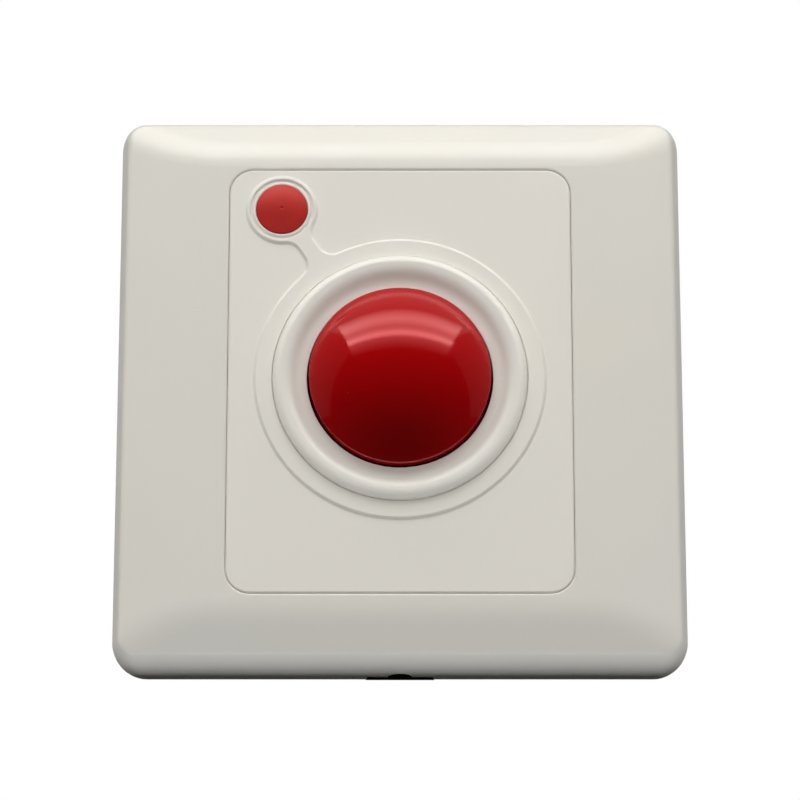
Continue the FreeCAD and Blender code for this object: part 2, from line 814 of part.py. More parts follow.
def snap_hooks():
    hooks = []
    for end in (-1, 1):
        hook = snap_hook()
        hook.translate(vec(0, end * hook_spacing_y / 2, 0))
        hooks.append(hook)
        hooks.append(hook.mirror(vec(0, 0, 0), vec(1, 0, 0)))
    return hooks


def battery_holder():
    """Two saddles under the cell and an end wall behind each contact."""
    root = base_thickness / 2
    saddle_top = base_thickness + saddle_height
    wall_top = base_thickness + end_wall_height
    behind_sheet = terminal_sheet + terminal_gap + end_wall / 2
    pieces = [block(saddle_thickness, saddle_width, root, saddle_top, side * saddle_spacing / 2, battery_y)
              for side in (-1, 1)]
    pieces += [block(end_wall, saddle_width, root, wall_top, x, battery_y)
               for x in (contact_x + behind_sheet, -spring_contact_x - behind_sheet)]
    cradle = Part.makeCylinder(battery_radius + saddle_gap, battery_length,
                               vec(-battery_half, battery_y, battery_z), vec(1, 0, 0))
    return [piece.cut(cradle) for piece in pieces]


def base_rib():
    """Low stiffening rib round the edge of the base plate, open at the latches."""
    outer = 2 * rib_outer_half
    inner = outer - 2 * base_rib_thickness
    top = base_thickness + base_rib_height
    ring = rounded_block(outer, outer, base_corner, base_thickness / 2, top)
    ring = ring.cut(rounded_block(inner, inner, base_corner - base_rib_thickness, 0, above_all))
    gap = block(latch_notch_width + 2 * latch_side_gap, wall_reach, 0, above_all)
    return ring.cut([moved(gap, side * latch_spacing / 2) for side in (-1, 1)])


def moved(shape, x):
    copy = shape.copy()
    copy.translate(vec(x, 0, 0))
    return copy


def latch_notch():
    """Notch in the plate's top edge, deeper at the rear so that the nib catches under a lip."""
    edge = latch_pocket_edge()
    reach = base_half - edge + latch_notch_depth
    lip_height = latch_tip + latch_nib_height + latch_running_gap
    deep = Part.makeBox(latch_notch_width, reach, lip_height + base_thickness,
                        vec(-latch_notch_width / 2, edge, -base_thickness))
    shallow = Part.makeBox(latch_notch_width, reach, 2 * base_thickness,
                           vec(-latch_notch_width / 2, edge + latch_nib, 0))
    return deep.fuse(shallow)


def wall_slot():
    straight = slot_length - slot_width
    ends = [cylinder(slot_width / 2, 0, above_all, 0, side * straight / 2) for side in (-1, 1)]
    return fused(block(slot_width, straight, 0, above_all), *ends)


def base_plate():
    plate = rounded_block(2 * base_half, 2 * base_half, base_corner, 0, base_thickness)
    posts = [cylinder(post_radius, base_thickness / 2, board_bottom_face, x, y) for x, y in post_places()]
    pegs = [cylinder(peg_radius, base_thickness / 2, board_bottom_face + peg_height, x, y)
            for x, y in peg_places()]
    plate = fused(plate, base_rib(), *(posts + pegs + snap_hooks() + battery_holder()))
    cutters = around_latches(latch_notch())
    cutters += [cylinder(screw_hole_radius, -base_thickness, above_all, x, y)
                for x, y in mirrored_pairs(screw_hole_x, screw_hole_y)]
    cutters += [moved(wall_slot(), side * slot_spacing / 2) for side in (-1, 1)]
    cutters += [block(hook_window_width, hook_window_height, -base_thickness, base_thickness, x, y)
                for x, y in mirrored_pairs(hook_spacing_x, hook_spacing_y)]
    return plate.cut(cutters)


def battery():
    can = Part.makeCylinder(battery_radius, battery_length,
                            vec(-battery_half, battery_y, battery_z), vec(1, 0, 0))
    ends = [edge for edge in can.Edges if edge.BoundBox.XLength < battery_edge]
    can = can.makeChamfer(battery_edge, ends)
    nub = Part.makeCylinder(battery_nub_radius, battery_nub_height,
                            vec(battery_half, battery_y, battery_z), vec(1, 0, 0))
    return fused(can, nub)


def terminal(plate_x, side):
    """Contact sheet at one end of the cell, with a neck over the board and a soldered foot."""
    half = terminal_width / 2
    sheet_x = plate_x + terminal_sheet / 2
    sheet = block(terminal_sheet, terminal_width, base_thickness, battery_z + half, sheet_x, battery_y)
    neck_length = board_bottom + terminal_reach - (battery_y + half)
    neck = block(terminal_sheet, neck_length, board_face, board_face + terminal_neck,
                 sheet_x, battery_y + half + neck_length / 2)
    foot = block(terminal_foot, terminal_foot, board_face, board_face + terminal_sheet,
                 plate_x + terminal_foot / 2, board_bottom + terminal_reach - terminal_foot / 2)
    solid = fused(sheet, neck, foot)
    if side < 0:
        solid = solid.mirror(vec(0, 0, 0), vec(1, 0, 0))
    return solid


def battery_spring():
    spring = coil(contact_spring_base, contact_spring_tip, contact_spring_wire, contact_spring_turns,
                  contact_spring_length)
    spring.rotate(vec(0, 0, 0), vec(0, 1, 0), 90)
    spring.translate(vec(-spring_contact_x, battery_y, battery_z))
    return spring


def encoder_chip():
    bottom = board_face + chip_standoff
    body = block(chip_length, chip_width, bottom, bottom + chip_height, chip_x, chip_y)
    mark = cylinder(leg_width, bottom + chip_height - leg_thickness, above_all,
                    chip_x - chip_length / 2 + 2 * leg_width, chip_y - chip_width / 2 + 2 * leg_width)
    return body.cut(mark)


def chip_legs():
    """Gull-wing legs in two rows along the chip's sides."""
    legs = []
    root = chip_width / 2
    shoulder = board_face + leg_shoulder
    points = [vec(0, root, shoulder),
              vec(0, root + leg_reach / 2, shoulder),
              vec(0, root + leg_reach / 2, board_face),
              vec(0, root + leg_reach, board_face),
              vec(0, root + leg_reach, board_face + leg_thickness),
              vec(0, root + leg_reach / 2 + leg_thickness, board_face + leg_thickness),
              vec(0, root + leg_reach / 2 + leg_thickness, shoulder + leg_thickness),
              vec(0, root, shoulder + leg_thickness)]
    leg = Part.Face(Part.makePolygon(points + points[:1])).extrude(vec(leg_width, 0, 0))
    for index in range(leg_count):
        x = (index - (leg_count - 1) / 2) * leg_pitch - leg_width / 2
        upper = moved(leg, x)
        lower = upper.mirror(vec(0, 0, 0), vec(0, 1, 0))
        for piece in (upper, lower):
            piece.translate(vec(chip_x, chip_y, 0))
            legs.append(piece)
    return Part.makeCompound(legs)


def resonator_can():
    flange = cylinder(can_radius + can_flange, board_face, board_face + can_flange_thickness, can_x, can_y)
    can = cylinder(can_radius, board_face, board_face + can_height, can_x, can_y)
    top = [edge for edge in can.Edges if edge.BoundBox.ZMin > board_face + can_flange_thickness
           and edge.BoundBox.ZLength < can_flange]
    return fused(can.makeChamfer(can_flange, top), flange)


def radio_transistor():
    """Round body with one flat side, carried a little above the board on three short legs."""
    bottom = board_face + transistor_lift
    body = cylinder(transistor_radius, bottom, bottom + transistor_height, transistor_x, transistor_y)
    flat = block(2 * transistor_radius, 2 * transistor_radius, board_face, above_all,
                 transistor_x, transistor_y - transistor_flat - transistor_radius)
    body = body.cut(flat)
    legs = [block(lead_size, lead_size, board_face, bottom, transistor_x + step * leg_pitch, transistor_y)
            for step in (-1, 0, 1)]
    return fused(body, *legs)


def storage_capacitor():
    """Aluminium can with a rolled groove near its foot."""
    can = cylinder(capacitor_radius, board_face, board_face + capacitor_height)
    groove_z = board_face + capacitor_groove_height
    neck_radius = capacitor_radius - capacitor_groove_depth
    depth = capacitor_groove_depth
    above = Part.makeCone(neck_radius, capacitor_radius, depth, vec(0, 0, groove_z))
    below = Part.makeCone(capacitor_radius, neck_radius, depth, vec(0, 0, groove_z - depth))
    groove = cylinder(capacitor_radius, groove_z - depth, groove_z + depth).cut([above, below])
    can = can.cut(groove)
    can.translate(vec(capacitor_x, capacitor_y, 0))
    return can


def chip_row(count, x, y, upright):
    """Row of small surface-mounted chips, each with its long side across the row."""
    row = []
    for index in range(count):
        along = (index - (count - 1) / 2) * chip_part_pitch
        if upright:
            row.append(block(chip_part_length, chip_part_width, board_face, board_face + chip_part_height,
                             x, y + along))
        else:
            row.append(block(chip_part_width, chip_part_length, board_face, board_face + chip_part_height,
                             x + along, y))
    return Part.makeCompound(row)


def antenna_ends():
    return (antenna_x - antenna_span / 2, antenna_x + antenna_span / 2)


def loop_antenna():
    """Tinned wire bent to a bridge over the top edge of the board."""
    left, right = antenna_ends()
    top = board_face + antenna_height
    bend = antenna_bend
    inset = bend * (1 - math.sqrt(0.5))
    y = antenna_y
    path = Part.Wire([line(vec(left, y, board_bottom_face), vec(left, y, top - bend)),
                      arc(vec(left, y, top - bend), vec(left + inset, y, top - inset),
                          vec(left + bend, y, top)),
                      line(vec(left + bend, y, top), vec(right - bend, y, top)),
                      arc(vec(right - bend, y, top), vec(right - inset, y, top - inset),
                          vec(right, y, top - bend)),
                      line(vec(right, y, top - bend), vec(right, y, board_bottom_face))])
    section = wire_section(vec(left, y, board_bottom_face), vec(0, 0, 1), antenna_wire)
    return path.makePipeShell([section], True, True)


pieces = {
    "front_cover": front_cover(),
    "control_panel": control_panel(),
    "call_button_cap": call_button_cap(),
    "return_spring": return_spring(),
    "push_switch_body": push_switch_body(),
    "switch_plunger": switch_plunger(),
    "switch_pins": switch_pins(),
    "indicator_lens": indicator_lens(),
    "indicator_led": indicator_led(),
    "led_leads": led_leads(),
    "circuit_board": circuit_board(),
    "encoder_chip": encoder_chip(),
    "encoder_chip_legs": chip_legs(),
    "resonator_can": resonator_can(),
    "radio_transistor": radio_transistor(),
    "storage_capacitor": storage_capacitor(),
    "chip_resistors": chip_row(resistor_count, resistor_x, resistor_y, False),
    "chip_capacitors": chip_row(bypass_count, bypass_x, bypass_y, True),
    "loop_antenna": loop_antenna(),
    "battery": battery(),
    "positive_terminal": terminal(contact_x, 1),
    "negative_terminal": terminal(spring_contact_x, -1),
    "battery_spring": battery_spring(),
    "base_plate": base_plate(),
}

os.makedirs("parts", exist_ok=True)
for name, shape in pieces.items():
    on_wall = place_on_wall(shape)
    on_wall.exportStep("parts/" + name + ".step")
    box = on_wall.optimalBoundingBox()
    print(f"{name}: {len(on_wall.Solids)} solid(s), {on_wall.Volume:.1f} mm3, valid {on_wall.isValid()}, "
          f"x {box.XMin:.2f}..{box.XMax:.2f} y {box.YMin:.2f}..{box.YMax:.2f} "
          f"z {box.ZMin:.2f}..{box.ZMax:.2f}")
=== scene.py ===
# %% [markdown]
# # Dressing a nurse call button
# The object is a square wall plate with a large red button, a small red indicator lens and a flat back.
# Here the parts get their finishes, the coil spring is rewound in round wire, and a light tent is built
# round the whole.

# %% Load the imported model
import math

import bpy
from mathutils import Matrix, Vector


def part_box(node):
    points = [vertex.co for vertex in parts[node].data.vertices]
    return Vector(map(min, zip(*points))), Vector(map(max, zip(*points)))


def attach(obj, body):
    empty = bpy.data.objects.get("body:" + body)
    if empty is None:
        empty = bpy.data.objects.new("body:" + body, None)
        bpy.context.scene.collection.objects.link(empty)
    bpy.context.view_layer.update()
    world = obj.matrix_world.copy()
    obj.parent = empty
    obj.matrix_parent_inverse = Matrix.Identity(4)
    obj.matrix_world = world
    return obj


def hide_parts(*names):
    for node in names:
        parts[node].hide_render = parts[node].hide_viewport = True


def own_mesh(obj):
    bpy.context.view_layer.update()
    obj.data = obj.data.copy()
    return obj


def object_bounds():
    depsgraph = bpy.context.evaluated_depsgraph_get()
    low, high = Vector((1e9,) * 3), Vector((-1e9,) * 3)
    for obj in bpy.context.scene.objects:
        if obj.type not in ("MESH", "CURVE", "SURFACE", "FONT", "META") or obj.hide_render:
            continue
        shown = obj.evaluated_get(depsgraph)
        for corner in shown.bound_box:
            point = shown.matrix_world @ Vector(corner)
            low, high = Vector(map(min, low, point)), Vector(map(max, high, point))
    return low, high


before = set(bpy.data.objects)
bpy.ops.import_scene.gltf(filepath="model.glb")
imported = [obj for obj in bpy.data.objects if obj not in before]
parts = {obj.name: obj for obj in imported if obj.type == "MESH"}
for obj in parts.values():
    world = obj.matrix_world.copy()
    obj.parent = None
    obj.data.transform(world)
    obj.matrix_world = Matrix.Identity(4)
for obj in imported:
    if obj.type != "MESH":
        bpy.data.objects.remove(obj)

cad_low, cad_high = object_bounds()
MM = 0.001
print("parts loaded:", len(parts), "size in mm:", [round(side / MM, 1) for side in cad_high - cad_low])

for blank in list(bpy.data.materials):
    blank.name = "blank_" + blank.name

# %% [markdown]
# ## Camera
# The plate is seen from below its middle, 17 degrees under the face's own direction, which shows the
# bottom wall with its pry notch. A long lens from about 57 cm keeps the sides nearly parallel.
# A look-at angle is easiest to get from the direction vector, with the camera's -Z axis along it.

# %% Camera
CAMERA_DISTANCE = 0.575
CAMERA_TILT = math.radians(17)
CAMERA_LENS = 173.0
face_centre = Vector((0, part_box("front_cover")[0].y - 0.2 * MM, 0))
aim = Vector((0, face_centre.y, -3.5 * MM))

camera = bpy.data.objects.new("camera", bpy.data.cameras.new("camera"))
bpy.context.scene.collection.objects.link(camera)
toward_camera = Vector((0, -math.cos(CAMERA_TILT), -math.sin(CAMERA_TILT)))
camera.location = face_centre + CAMERA_DISTANCE * toward_camera
camera.rotation_mode = "QUATERNION"
camera.rotation_quaternion = (aim - camera.location).to_track_quat("-Z", "Y")
camera.data.lens = CAMERA_LENS
camera.data.sensor_width = 36
camera.data.clip_start = 0.01
bpy.context.scene.camera = camera
bpy.context.scene.view_settings.view_transform = "Standard"
print("camera at", [round(value, 3) for value in camera.location])

# %% [markdown]
# ## Node helpers
# Every finish is a small graph of nodes, so a few helpers keep the cells short. They start a material
# or a node group, add a node with its values, and join sums, mixes and ranges to what feeds them.

# %% Node helpers
def new_material(name):
    material = bpy.data.materials.new(name)
    material.use_nodes = True
    tree = material.node_tree
    surface = tree.nodes["Principled BSDF"]
    return material, tree, surface


def add_node(tree, kind, **values):
    node = tree.nodes.new(kind)
    for name, value in values.items():
        setattr(node, name, value)
    return node


def set_inputs(node, **values):
    for name, value in values.items():
        node.inputs[name.replace("_", " ")].default_value = value
    return node


def add_math(tree, operation, first, second=0.0, clamp=False):
    node = add_node(tree, "ShaderNodeMath", operation=operation, use_clamp=clamp)
    for socket, value in zip(node.inputs, (first, second)):
        if isinstance(value, (int, float)):
            socket.default_value = value
        else:
            tree.links.new(value, socket)
    return node.outputs[0]


def add_mix(tree, factor, first, second):
    node = add_node(tree, "ShaderNodeMix", data_type="RGBA")
    for socket, value in zip((node.inputs[0], node.inputs[6], node.inputs[7]), (factor, first, second)):
        if isinstance(value, (int, float, tuple)):
            socket.default_value = value
        else:
            tree.links.new(value, socket)
    return node.outputs[2]


def add_range(tree, value, low, high, to_low=0.0, to_high=1.0):
    node = add_node(tree, "ShaderNodeMapRange")
    tree.links.new(value, node.inputs["Value"])
    for name, number in (("From Min", low), ("From Max", high), ("To Min", to_low), ("To Max", to_high)):
        node.inputs[name].default_value = number
    return node.outputs["Result"]


def object_place(tree):
    return add_node(tree, "ShaderNodeTexCoord").outputs["Object"]


def new_group(name, inputs, outputs):
    """Start a shader node group with named sockets; inputs are (name, kind, value)."""
    group = bpy.data.node_groups.new(name, "ShaderNodeTree")
    for label, kind, value in inputs:
        socket = group.interface.new_socket(label, in_out="INPUT", socket_type=kind)
        if value is not None:
            socket.default_value = value
    for label, kind in outputs:
        group.interface.new_socket(label, in_out="OUTPUT", socket_type=kind)
    source = group.nodes.new("NodeGroupInput")
    sink = group.nodes.new("NodeGroupOutput")
    return group, source, sink


def use_group(tree, group, **values):
    node = add_node(tree, "ShaderNodeGroup", node_tree=group)
    return set_inputs(node, **values)


# %% [markdown]
# ## World
# The object was lit in a tent with a white ceiling and pale sides, open at the front. The camera sees
# plain white behind everything. Mirror rays see a part of that white only when they go behind the plate,
# because the open front of the tent is dark, and this keeps the red dome deep. Diffuse light from the
# world grows from nearly nothing below to a soft glow above.

# %% World
FRONT_GLOW = 0.03
BEHIND_GLOW = 0.25
AMBIENT_LOW = 0.04
AMBIENT_HIGH = 0.30

world = bpy.data.worlds.new("light_tent")
world.use_nodes = True
bpy.context.scene.world = world
sky = world.node_tree
sky_shader = sky.nodes["Background"]

direction = add_node(sky, "ShaderNodeSeparateXYZ")
sky.links.new(add_node(sky, "ShaderNodeTexCoord").outputs["Generated"], direction.inputs[0])
seen_by = add_node(sky, "ShaderNodeLightPath")
ambient = add_range(sky, direction.outputs["Z"], -0.6, 0.9, AMBIENT_LOW, AMBIENT_HIGH)
mirrored = add_range(sky, direction.outputs["Y"], 0.6, 0.9, FRONT_GLOW, BEHIND_GLOW)
is_mirror = add_math(sky, "MAXIMUM", seen_by.outputs["Is Glossy Ray"],
                     seen_by.outputs["Is Transmission Ray"])
not_mirror = add_math(sky, "SUBTRACT", 1.0, is_mirror)
unseen = add_math(sky, "ADD", add_math(sky, "MULTIPLY", ambient, not_mirror),
                  add_math(sky, "MULTIPLY", mirrored, is_mirror))
strength = add_math(sky, "MAXIMUM", unseen, seen_by.outputs["Is Camera Ray"])
sky.links.new(strength, sky_shader.inputs["Strength"])
sky_shader.inputs["Color"].default_value = (1.0, 1.0, 1.0, 1.0)
print("world nodes:", len(sky.nodes))

# %% [markdown]
# ## Lamps
# Studio light does two jobs. It lights the surfaces, and it shows as bright shapes in what is glossy.
# Large soft lamps do the first job and stay out of the reflections. A glowing screen and the tent's
# walls do the second and give no light of their own. Each can then be set without spoiling the other.
# The power of a lamp follows from the brightness that it should have, so that a larger lamp isn't also
# a brighter one in the reflection. A lamp shines along its own -Z axis, so its turn is built from that
# axis and from the way its long side runs. The camera doesn't see the lamps.

# %% Lamp helper
WARM_WHITE = (1.0, 0.985, 0.955)
CENTRE = (0, 0, 0)


def add_lamp(name, place, size, look_at, brightness, job, along=(1, 0, 0), colour=WARM_WHITE):
    """Add an area lamp whose job is light, kept out of reflections, or shine, seen only in them."""
    lamp = bpy.data.lights.new(name, "AREA")
    lamp.shape = "RECTANGLE"
    lamp.size, lamp.size_y = size
    lamp.energy = brightness * math.pi * size[0] * size[1]
    lamp.color = colour
    holder = bpy.data.objects.new(name, lamp)
    bpy.context.scene.collection.objects.link(holder)
    backward = (Vector(place) - Vector(look_at)).normalized()
    upward = backward.cross(Vector(along)).normalized()
    sideways = upward.cross(backward)
    turn = Matrix((sideways, upward, backward)).transposed()
    holder.location = place
    holder.rotation_mode = "QUATERNION"
    holder.rotation_quaternion = turn.to_quaternion()
    holder.visible_camera = False
    holder.visible_glossy = job == "shine"
    holder.visible_diffuse = job == "light"
    return holder


# %% [markdown]
# The key light hangs high in front, and a weaker lamp overhead softens its shadows. A fill in front
# keeps the face even. One more lamp lies below, where a table throws light back up at the lower bevel
# and the bottom wall. Fills at the sides and behind keep the other sides of the plate from going black.
# The button takes no light from the front fill or from below, so its lower half stays deep, as it is
# in the photograph.

# %% Lighting lamps
KEY_DISTANCE = 0.62
KEY_ELEVATION = math.radians(50)
key_place = (0, -KEY_DISTANCE * math.cos(KEY_ELEVATION), KEY_DISTANCE * math.sin(KEY_ELEVATION))
SIDES = (("left", -1), ("right", 1))
COOL_WHITE = (0.96, 0.98, 1.0)

add_lamp("key", key_place, (1.15, 0.35), CENTRE, 2.0, "light")
add_lamp("top_light", (0, -0.1, 0.6), (1.2, 0.6), (0, -0.1, 0), 0.45, "light")
bounce = add_lamp("table_bounce", (0, 0.06, -0.33), (0.9, 0.26), CENTRE, 1.8, "light", colour=COOL_WHITE)
front_fill = add_lamp("front_fill", (0, -0.62, -0.08), (0.9, 0.2), CENTRE, 2.7, "light")
add_lamp("rear_fill", (0, 0.75, 0.35), (1.2, 0.8), CENTRE, 0.9, "light")
for name, side in SIDES:
    add_lamp(f"side_fill_{name}", (side * 0.8, 0.12, 0.1), (0.6, 0.6), CENTRE, 1.15, "light",
             along=(0, 1, 0))

low_lit = bpy.data.collections.new("lit_by_low_lamps")
for part_name, part in parts.items():
    if part_name != "call_button_cap":
        low_lit.objects.link(part)
for lamp in (bounce, front_fill):
    lamp.light_linking.receiver_collection = low_lit

# %% [markdown]
# The two pale bands on the dome are two tubes behind a curved screen. The screen is a grid bent by code:
# each of its rows is a parabola whose middle stands at an elevation above the face, and whose ends lie
# higher, and further back in the upper rows. Its glow follows its height, by a colour ramp with a peak
# at each tube. The ramp's stops are given in degrees of elevation.

# %% Curved screen
SCREEN_DISTANCE = 0.55
SCREEN_HALF_LENGTH = 0.575
SCREEN_LOW = 30.0
SCREEN_HIGH = 77.0
LOW_RISE = Vector((0, -0.045, 0.068))
HIGH_RISE = Vector((0, 0.153, 0.130))
SCREEN_GLOW = 11.0
GLOW_AT_ELEVATION = {30: 0.01, 35: 0.09, 42.5: 0.24, 45: 0.85, 48: 1.05, 50.5: 0.62,
                     55: 0.38, 60: 0.56, 64: 0.64, 68: 0.50, 72: 0.32, 77: 0.10}

bpy.ops.object.select_all(action="DESELECT")
bpy.ops.mesh.primitive_grid_add(x_subdivisions=32, y_subdivisions=16, size=2)
screen = bpy.context.active_object
screen.name = "tube_screen"
for corner in screen.data.vertices:
    across, height = corner.co.x, (corner.co.y + 1) / 2
    elevation = math.radians(SCREEN_LOW + (SCREEN_HIGH - SCREEN_LOW) * height)
    middle = Vector((0, -math.cos(elevation), math.sin(elevation))) * SCREEN_DISTANCE
    sideways = Vector((SCREEN_HALF_LENGTH * across, 0, 0))
    corner.co = middle + sideways + LOW_RISE.lerp(HIGH_RISE, height) * across ** 2
screen.data.update()

screen_light, tree, surface = new_material("screen_light")
tree.nodes.remove(surface)
place_on_grid = add_node(tree, "ShaderNodeSeparateXYZ")
tree.links.new(add_node(tree, "ShaderNodeTexCoord").outputs["UV"], place_on_grid.inputs[0])
ramp = add_node(tree, "ShaderNodeValToRGB")
tree.links.new(place_on_grid.outputs["Y"], ramp.inputs["Fac"])
while len(ramp.color_ramp.elements) < len(GLOW_AT_ELEVATION):
    ramp.color_ramp.elements.new(0.5)
for stop, (elevation, glow) in zip(ramp.color_ramp.elements, GLOW_AT_ELEVATION.items()):
    stop.position = (elevation - SCREEN_LOW) / (SCREEN_HIGH - SCREEN_LOW)
    stop.color = (glow, glow, glow, 1.0)
emitter = add_node(tree, "ShaderNodeEmission")
emitter.inputs["Color"].default_value = (*WARM_WHITE, 1.0)
tree.links.new(add_math(tree, "MULTIPLY", ramp.outputs["Color"], SCREEN_GLOW), emitter.inputs["Strength"])
tree.links.new(emitter.outputs[0], tree.nodes["Material Output"].inputs["Surface"])
screen.data.materials.append(screen_light)
for ray in ("camera", "diffuse", "shadow", "volume_scatter"):
    setattr(screen, f"visible_{ray}", False)
print("screen:", len(screen.data.polygons), "faces")

# %% [markdown]
# The tent's ceiling gives the soft zone above the bands. Its sides slant: they are open at the lower
# front, where the camera stands, and this leaves the dark middle of the dome, which widens downward.

# %% Tent
TENT_HEIGHT = 0.62
TENT_HALF_WIDTH = 0.62
CEILING_FRONT = -0.93
CEILING_REAR = 0.09
SIDE_SLANT = math.radians(30)
SIDE_MIDDLE = (-0.09, 0.33)
SIDE_SIZE = (0.95, 0.60)
SIDE_COLOUR = (1.0, 0.93, 0.90)

ceiling_middle = (CEILING_FRONT + CEILING_REAR) / 2
add_lamp("ceiling", (0, ceiling_middle, TENT_HEIGHT), (2 * TENT_HALF_WIDTH, CEILING_REAR - CEILING_FRONT),
         (0, ceiling_middle, 0), 0.7, "shine")
slanting = (0, -math.sin(SIDE_SLANT), math.cos(SIDE_SLANT))
for name, side in SIDES:
    add_lamp(f"tent_{name}", (side * TENT_HALF_WIDTH, *SIDE_MIDDLE), SIDE_SIZE, (0, *SIDE_MIDDLE),
             0.30, "shine", along=slanting, colour=SIDE_COLOUR)

# %% [markdown]
# ## Flag under the bottom wall
# In the photograph's light the bottom wall is pale at its front edge and nearly black at the back,
# because little light reaches under the plate. A black flag, a card about a centimetre below the wall,
# takes that light away, more so toward the back. The flag belongs to the studio, and the camera doesn't
# see it. The pry notch is dark inside for the same reason, and a small card of the same black stands
# behind it as painted shade. It has only one face, so from behind it is clear, but it still shades the
# plate's back.

# %% Flags
FLAG_DROP = 11 * MM
FLAG_FRONT = -6 * MM
FLAG_REAR = 60 * MM
FLAG_WIDTH = 150 * MM
NOTCH_SHADE_CARD_SIZE = (10.3 * MM, 6 * MM)
NOTCH_SHADE_CARD_GAP = 0.2 * MM
NOTCH_SHADE_CARD_RAISE = 0.3 * MM

flag_felt_and_painted_shade, tree, surface = new_material("black_felt_and_painted_shade")
set_inputs(surface, Base_Color=(0.01, 0.01, 0.01, 1.0), Roughness=1.0, Specular_IOR_Level=0.0)
facing = add_node(tree, "ShaderNodeNewGeometry")
tree.links.new(add_math(tree, "SUBTRACT", 1.0, facing.outputs["Backfacing"]), surface.inputs["Alpha"])


def add_card(name, size, place, turn):
    bpy.ops.object.select_all(action="DESELECT")
    bpy.ops.mesh.primitive_grid_add(x_subdivisions=2, y_subdivisions=2, size=1, location=place,
                                    rotation=turn)
    card = bpy.context.active_object
    card.name = name
    card.scale = (*size, 1)
    bpy.ops.object.transform_apply(location=True, rotation=True, scale=True)
    card.data.materials.append(flag_felt_and_painted_shade)
    return card


flag_height = cad_low.z - FLAG_DROP
flag = add_card("black_flag", (FLAG_WIDTH, FLAG_REAR - FLAG_FRONT),
                (0, (FLAG_REAR + FLAG_FRONT) / 2, flag_height), (0, 0, 0))
flag.visible_camera = False
# The notch card is painted shade: a dark sheet seen through the notch where there is only shadow.
notch_shade_card_height = cad_low.z + NOTCH_SHADE_CARD_RAISE + NOTCH_SHADE_CARD_SIZE[1] / 2
notch_painted_shade_card = add_card("notch_painted_shade_card", NOTCH_SHADE_CARD_SIZE,
                      (0, cad_high.y + NOTCH_SHADE_CARD_GAP, notch_shade_card_height), (math.radians(90), 0, 0))
print("flag at z =", round(flag_height, 4), "notch card faces", notch_painted_shade_card.data.polygons[0].normal[:])

# %% [markdown]
# ## Floor
# A pale sheet lies under the object, well below it, because the plate hangs on a wall and is seen from
# a little below. The camera sees it pale, with a faint glow in place of the lamps that it lacks. To the
# rays that carry soft light and mirror images it is dark like a room, and this keeps the lower half of
# the dome deep.

# %% Floor
FLOOR_DROP = 0.36
FLOOR_SIZE = 9
FLOOR_GLOW = 0.42
ROOM_DARK = (0.08, 0.08, 0.08, 1.0)

bpy.ops.object.select_all(action="DESELECT")
bpy.ops.mesh.primitive_grid_add(x_subdivisions=8, y_subdivisions=8, size=FLOOR_SIZE,
                                location=(0, 0, -FLOOR_DROP))
floor = bpy.context.active_object
floor.name = "floor_sheet"

floor_material, tree, surface = new_material("pale_floor")
set_inputs(surface, Roughness=0.9, Specular_IOR_Level=0.1)
seen_by = add_node(tree, "ShaderNodeLightPath")
paper = add_node(tree, "ShaderNodeTexNoise")
set_inputs(paper, Scale=60.0, Detail=3.0)
tree.links.new(object_place(tree), paper.inputs["Vector"])
pale = add_mix(tree, paper.outputs["Fac"], (0.84, 0.84, 0.83, 1.0), (0.88, 0.88, 0.87, 1.0))
surface.inputs["Emission Color"].default_value = (1.0, 1.0, 0.99, 1.0)
by_camera = seen_by.outputs["Is Camera Ray"]
tree.links.new(add_math(tree, "MULTIPLY", by_camera, FLOOR_GLOW), surface.inputs["Emission Strength"])
tree.links.new(add_mix(tree, by_camera, ROOM_DARK, pale), surface.inputs["Base Color"])
floor.data.materials.append(floor_material)
print("floor at z =", -FLOOR_DROP)

# %% [markdown]
# ## Shared effect: moulded grain
# A moulding copies the fine spark-eroded skin of its steel mould. Up close this is a shallow, even
# pebble, a few tenths of a millimetre across, which breaks up the gloss. Noise gives the height of
# that skin, and a slower noise shifts the gloss a little from place to place.

# %% Moulded grain group
moulded_grain, source, sink = new_group(
    "moulded_grain",
    [("Grain Scale", "NodeSocketFloat", 3000.0), ("Depth", "NodeSocketFloat", 0.1),
     ("Roughness Low", "NodeSocketFloat", 0.35), ("Roughness High", "NodeSocketFloat", 0.45),
     ("Normal", "NodeSocketVector", None)],
    [("Normal", "NodeSocketVector"), ("Roughness", "NodeSocketFloat")])
place = object_place(moulded_grain)
skin = add_node(moulded_grain, "ShaderNodeTexNoise")
set_inputs(skin, Detail=2.0, Roughness=0.6)
moulded_grain.links.new(place, skin.inputs["Vector"])
moulded_grain.links.new(source.outputs["Grain Scale"], skin.inputs["Scale"])
bump = add_node(moulded_grain, "ShaderNodeBump")
set_inputs(bump, Distance=0.00002)
moulded_grain.links.new(source.outputs["Depth"], bump.inputs["Strength"])
moulded_grain.links.new(skin.outputs["Fac"], bump.inputs["Height"])
moulded_grain.links.new(source.outputs["Normal"], bump.inputs["Normal"])
moulded_grain.links.new(bump.outputs["Normal"], sink.inputs["Normal"])
patches = add_node(moulded_grain, "ShaderNodeTexNoise")
set_inputs(patches, Scale=90.0, Detail=3.0)
moulded_grain.links.new(place, patches.inputs["Vector"])
span = add_node(moulded_grain, "ShaderNodeMapRange")
set_inputs(span, From_Min=0.3, From_Max=0.7)
moulded_grain.links.new(patches.outputs["Fac"], span.inputs["Value"])
moulded_grain.links.new(source.outputs["Roughness Low"], span.inputs["To Min"])
moulded_grain.links.new(source.outputs["Roughness High"], span.inputs["To Max"])
moulded_grain.links.new(span.outputs["Result"], sink.inputs["Roughness"])
print("group:", moulded_grain.name, len(moulded_grain.nodes), "nodes")

# %% [markdown]
# ## Shared effect: softened edges
# A mould has no razor edges: each one has a radius of a tenth of a millimetre or two, which catches the
# light as a thin line. Rounding them in the mesh would take thousands of faces, so the shading normal
# is blended across each edge instead.

